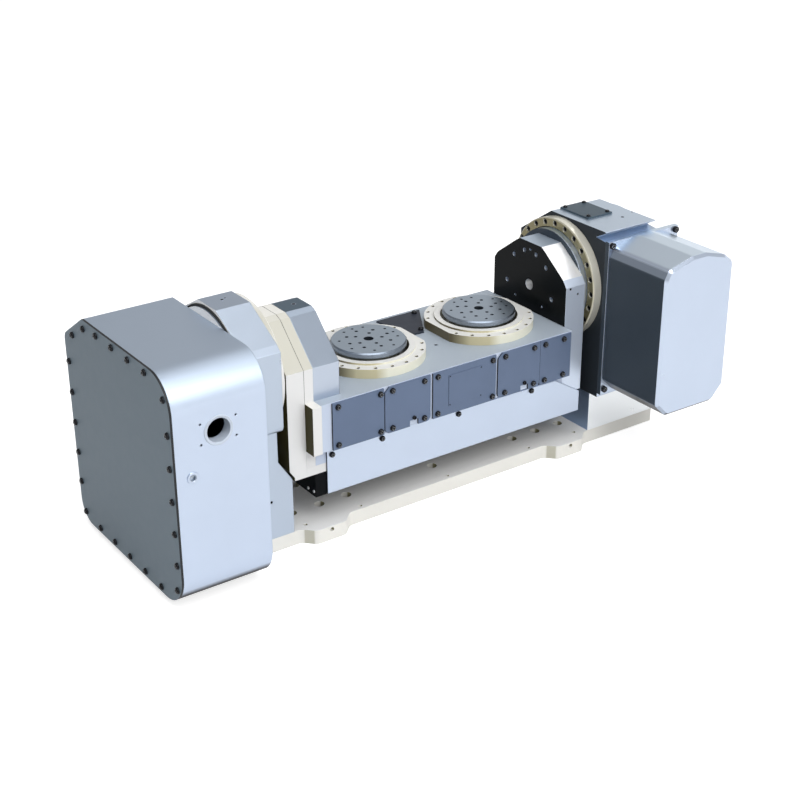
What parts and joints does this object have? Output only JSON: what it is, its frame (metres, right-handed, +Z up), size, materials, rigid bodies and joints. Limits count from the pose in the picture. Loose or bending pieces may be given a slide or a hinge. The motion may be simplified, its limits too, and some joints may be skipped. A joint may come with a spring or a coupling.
{
  "type": "tilting rotary table",
  "caption": "Tilting rotary table: a trunnion cradle with two rotary faceplates between a drive housing and a clamped tail support on one base plate.",
  "frame": {"origin": "On the underside of the base plate, below the tilt axis, midway between the two faceplate axes.", "axes": "+X along the tilt axis towards the tail support, -Y towards the operator's side with the covers, +Z up, along the faceplate axes at rest."},
  "size_m": [0.8392, 0.355, 0.3366],
  "materials": {
    "silver_paint": "smooth light silver blue paint",
    "panel_paint": "painted sheet steel, light silver blue",
    "ivory_paint": "smooth ivory finish on machined plates and rings",
    "slate_paint": "satin dark slate blue covers",
    "black_box": "black anodised box",
    "black_steel": "black oxide fasteners",
    "machined_steel": "fine turned steel",
    "bearing_steel": "ground steel, inside the machine",
    "motor_case": "dark coated motor and bracket",
    "belt_rubber": "black toothed belt"
  },
  "bodies": {
    "base": {"left_pedestal": "silver_paint", "drive_housing": "silver_paint", "right_support": "silver_paint", "right_stand": "silver_paint", "clamp_unit_housing": "silver_paint", "rear_cap": "silver_paint", "base_plate": "ivory_paint", "left_trunnion_ring": "ivory_paint", "right_trunnion_ring": "ivory_paint", "clamp_unit_plate": "ivory_paint", "support_panel": "slate_paint", "drive_cover": "slate_paint", "trunnion_ring_bolts": "black_steel", "drive_cover_screws": "black_steel", "clamp_unit_screws": "black_steel", "support_panel_screws": "black_steel", "air_port_bush": "machined_steel", "left_tilt_bearing_outer": "bearing_steel", "right_tilt_bearing_outer": "bearing_steel", "reducer_case": "bearing_steel", "clamp_piston": "bearing_steel", "tilt_motor": "motor_case", "motor_bracket": "motor_case", "clamp_booster": "motor_case", "drive_belt": "belt_rubber"},
    "cradle": {"cradle_beam": "silver_paint", "left_arm": "silver_paint", "right_arm": "silver_paint", "end_plate": "ivory_paint", "flange_plate": "ivory_paint", "left_trunnion": "ivory_paint", "right_trunnion": "ivory_paint", "left_tilt_bearing_inner": "bearing_steel", "right_tilt_bearing_inner": "bearing_steel", "clamp_disc": "bearing_steel", "front_cover_1": "slate_paint", "front_cover_2": "slate_paint", "front_cover_3": "slate_paint", "front_cover_4": "slate_paint", "front_cover_5": "slate_paint", "port_plugs": "black_steel", "cradle_cover_screws": "black_steel", "guard_panel": "panel_paint", "lower_box": "black_box", "beam_top_cover": "slate_paint", "spindle_ring_left": "ivory_paint", "spindle_ring_right": "ivory_paint", "spindle_ring_screws": "black_steel", "spindle_bearing_outer_left": "bearing_steel", "spindle_bearing_outer_right": "bearing_steel", "spindle_stator_left": "bearing_steel", "spindle_stator_right": "bearing_steel"},
    "faceplate_left": {"faceplate_left": "machined_steel", "spindle_rotor_left": "bearing_steel", "spindle_bearing_inner_left": "bearing_steel"},
    "faceplate_right": {"faceplate_right": "machined_steel", "spindle_rotor_right": "bearing_steel", "spindle_bearing_inner_right": "bearing_steel"},
    "input_pulley": {"input_pulley": "bearing_steel"},
    "motor_pulley": {"motor_pulley": "bearing_steel"}
  },
  "joints": [
    {"name": "tilt_axis", "type": "hinge", "parent": "base", "child": "cradle", "pos_m": [0, 0, 0.24], "axis": [1, 0, 0], "range_deg": [-110, 110]},
    {"name": "rotary_axis_left", "type": "hinge", "parent": "cradle", "child": "faceplate_left", "pos_m": [-0.0933, 0, 0.2213], "axis": [0, 0, 1], "continuous": true},
    {"name": "rotary_axis_right", "type": "hinge", "parent": "cradle", "child": "faceplate_right", "pos_m": [0.0933, 0, 0.2213], "axis": [0, 0, 1], "continuous": true},
    {"name": "reducer_input", "type": "hinge", "parent": "base", "child": "input_pulley", "pos_m": [-0.36, 0, 0.24], "axis": [1, 0, 0], "range_deg": [-3310, 3310]},
    {"name": "motor_output", "type": "hinge", "parent": "base", "child": "motor_pulley", "pos_m": [-0.36, 0, 0.095], "axis": [1, 0, 0], "range_deg": [-5700, 5700]}
  ],
  "couplings": [
    {"joint": "reducer_input", "follows": "tilt_axis", "ratio": 30},
    {"joint": "motor_output", "follows": "tilt_axis", "ratio": 51.54}
  ]
}
